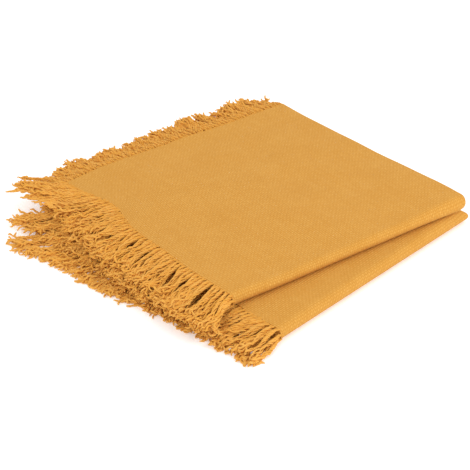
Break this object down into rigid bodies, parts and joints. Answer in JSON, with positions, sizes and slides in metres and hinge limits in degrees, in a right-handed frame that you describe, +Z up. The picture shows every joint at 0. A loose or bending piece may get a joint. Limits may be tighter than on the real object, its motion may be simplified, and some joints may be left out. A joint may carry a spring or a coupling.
{
  "type": "folded throw blanket",
  "caption": "Woven cotton throw with a yarn fringe on every side, folded square into level leaves that open at their creases.",
  "frame": {"origin": "on the surface that the folded throw rests on, under the middle of its outline", "axes": "+Z up through the stack of leaves; +X along the front fold of the upper leaves, towards the doubled side folds; +Y back towards the free fringed end of the top leaf"},
  "size_m": [0.4587, 0.4552, 0.0363],
  "materials": {
    "cloth": "mustard cotton in a fine basket weave, matt, soft and lightly napped",
    "fringe": "loose twisted mustard cotton yarn, crinkled, matt"
  },
  "bodies": {
    "top_leaf": {"top_leaf_centre_fold": "cloth", "top_leaf_end_fringe_1": "fringe", "top_leaf_end_fringe_2": "fringe", "top_leaf_end_fringe_3": "fringe", "top_leaf_end_fringe_4": "fringe", "top_leaf_inner_side_fold": "cloth", "top_leaf_outer_side_fold": "cloth", "top_leaf_panel_1": "cloth", "top_leaf_panel_2": "cloth", "top_leaf_panel_3": "cloth", "top_leaf_panel_4": "cloth", "top_leaf_side_fringe_1": "fringe", "top_leaf_side_fringe_4": "fringe"},
    "second_leaf": {"second_leaf_centre_fold": "cloth", "second_leaf_inner_side_fold": "cloth", "second_leaf_outer_side_fold": "cloth", "second_leaf_panel_1": "cloth", "second_leaf_panel_2": "cloth", "second_leaf_panel_3": "cloth", "second_leaf_panel_4": "cloth", "second_leaf_side_fringe_1": "fringe", "second_leaf_side_fringe_4": "fringe"},
    "third_leaf": {"third_leaf_centre_fold": "cloth", "third_leaf_inner_side_fold": "cloth", "third_leaf_outer_side_fold": "cloth", "third_leaf_panel_1": "cloth", "third_leaf_panel_2": "cloth", "third_leaf_panel_3": "cloth", "third_leaf_panel_4": "cloth", "third_leaf_side_fringe_1": "fringe", "third_leaf_side_fringe_4": "fringe"},
    "bottom_leaf": {"bottom_leaf_centre_fold": "cloth", "bottom_leaf_end_fringe_1": "fringe", "bottom_leaf_end_fringe_2": "fringe", "bottom_leaf_end_fringe_3": "fringe", "bottom_leaf_end_fringe_4": "fringe", "bottom_leaf_inner_side_fold": "cloth", "bottom_leaf_outer_side_fold": "cloth", "bottom_leaf_panel_1": "cloth", "bottom_leaf_panel_2": "cloth", "bottom_leaf_panel_3": "cloth", "bottom_leaf_panel_4": "cloth", "bottom_leaf_side_fringe_1": "fringe", "bottom_leaf_side_fringe_4": "fringe"}
  },
  "joints": [
    {"name": "lower_fold", "type": "hinge", "parent": "bottom_leaf", "child": "third_leaf", "pos_m": [0.05787, -0.19548, 0.009], "axis": [0.9848, 0.1736, 0], "range_deg": [0, 180]},
    {"name": "spine_fold", "type": "hinge", "parent": "third_leaf", "child": "second_leaf", "pos_m": [0.02467, 0.15005, 0.01815], "axis": [-0.9969, -0.0785, 0], "range_deg": [0, 180]},
    {"name": "top_leaf_fold", "type": "hinge", "parent": "second_leaf", "child": "top_leaf", "pos_m": [0.0479, -0.17136, 0.0273], "axis": [1, 0, 0], "range_deg": [0, 180]}
  ],
  "couplings": [
    {"joint": "spine_fold", "follows": "lower_fold", "ratio": 1}
  ]
}
